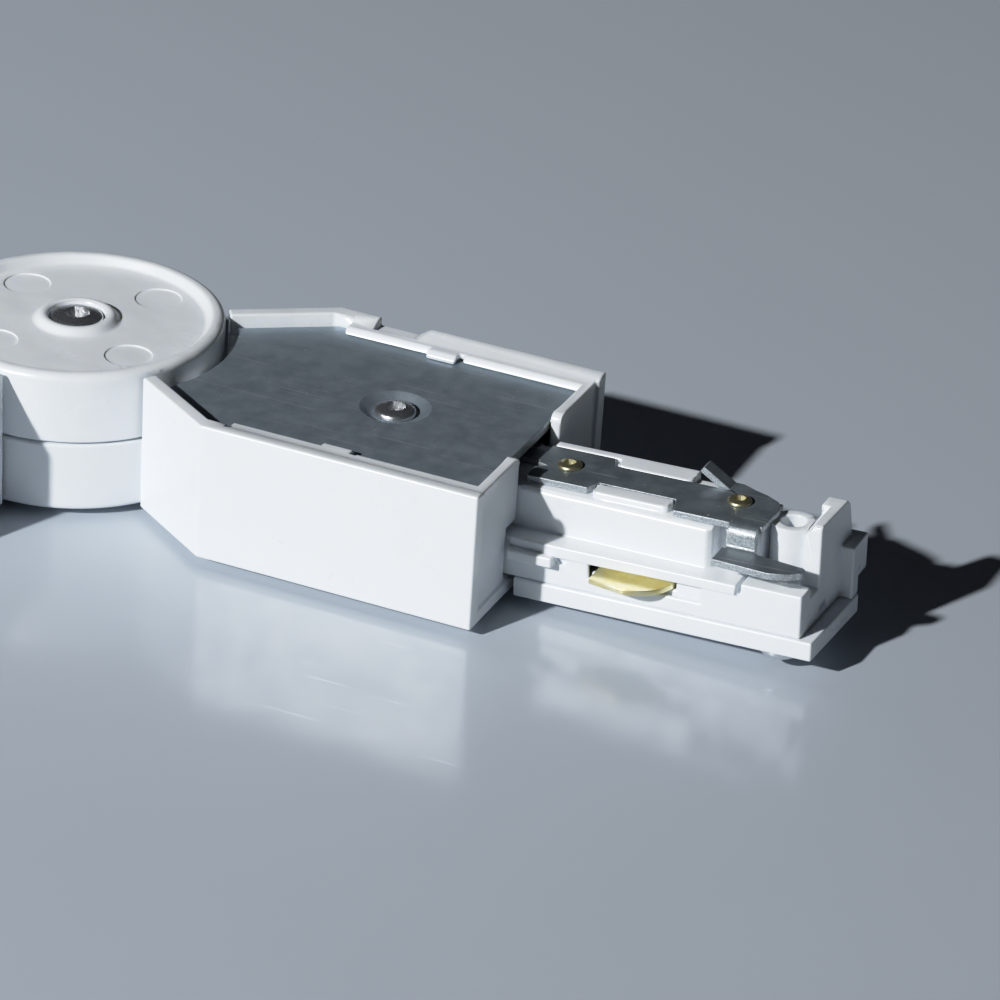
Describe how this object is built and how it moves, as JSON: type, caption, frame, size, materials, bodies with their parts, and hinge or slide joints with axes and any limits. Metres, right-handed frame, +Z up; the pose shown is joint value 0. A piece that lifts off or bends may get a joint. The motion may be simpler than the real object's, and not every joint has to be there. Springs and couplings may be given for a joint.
{
  "type": "flexible track connector",
  "caption": "Hinged connector for lighting track: white hollow arms with steel back plates swing about a round hub and end in keyed plugs with brass contacts and an earth strip.",
  "frame": {"origin": "hub axis, on the plane that the visible face lies on", "axes": "+Z up out of the back plates along the hub axis, +X along the right arm towards its plug, +Y across that arm"},
  "size_m": [0.153, 0.098, 0.0166],
  "materials": {
    "white_plastic": "satin gloss as moulded",
    "dull_zinc_steel": "dull zinc plated sheet steel",
    "bright_screw": "bright plated",
    "yellow_screw": "yellow zinc plated",
    "brass": "stamped, bright edges",
    "brown_wire": "smooth insulation",
    "blue_wire": "smooth insulation",
    "earth_wire": "smooth insulation, striped"
  },
  "bodies": {
    "right_arm": {"right_housing": "white_plastic", "right_back_plate": "dull_zinc_steel", "right_plate_screw": "bright_screw", "right_plug_body": "white_plastic", "right_plug_base": "white_plastic", "right_base_screw": "bright_screw", "right_earth_strip": "dull_zinc_steel", "right_strip_screw_inner": "yellow_screw", "right_strip_screw_outer": "yellow_screw", "right_live_contact": "brass", "right_neutral_contact": "brass", "pivot_screw": "bright_screw", "live_wire": "brown_wire", "neutral_wire": "blue_wire", "earth_wire": "earth_wire"},
    "left_arm": {"left_housing": "white_plastic", "left_back_plate": "dull_zinc_steel", "left_plate_screw": "bright_screw", "left_plug_body": "white_plastic", "left_plug_base": "white_plastic", "left_base_screw": "bright_screw", "left_earth_strip": "dull_zinc_steel", "left_strip_screw_inner": "yellow_screw", "left_strip_screw_outer": "yellow_screw", "left_live_contact": "brass", "left_neutral_contact": "brass"}
  },
  "joints": [
    {"name": "hub_swivel", "type": "hinge", "parent": "right_arm", "child": "left_arm", "pos_m": [0, 0, 0.0082], "axis": [0, 0, 1], "range_deg": [-145, 35], "deforming": ["live_wire", "neutral_wire", "earth_wire"]}
  ]
}
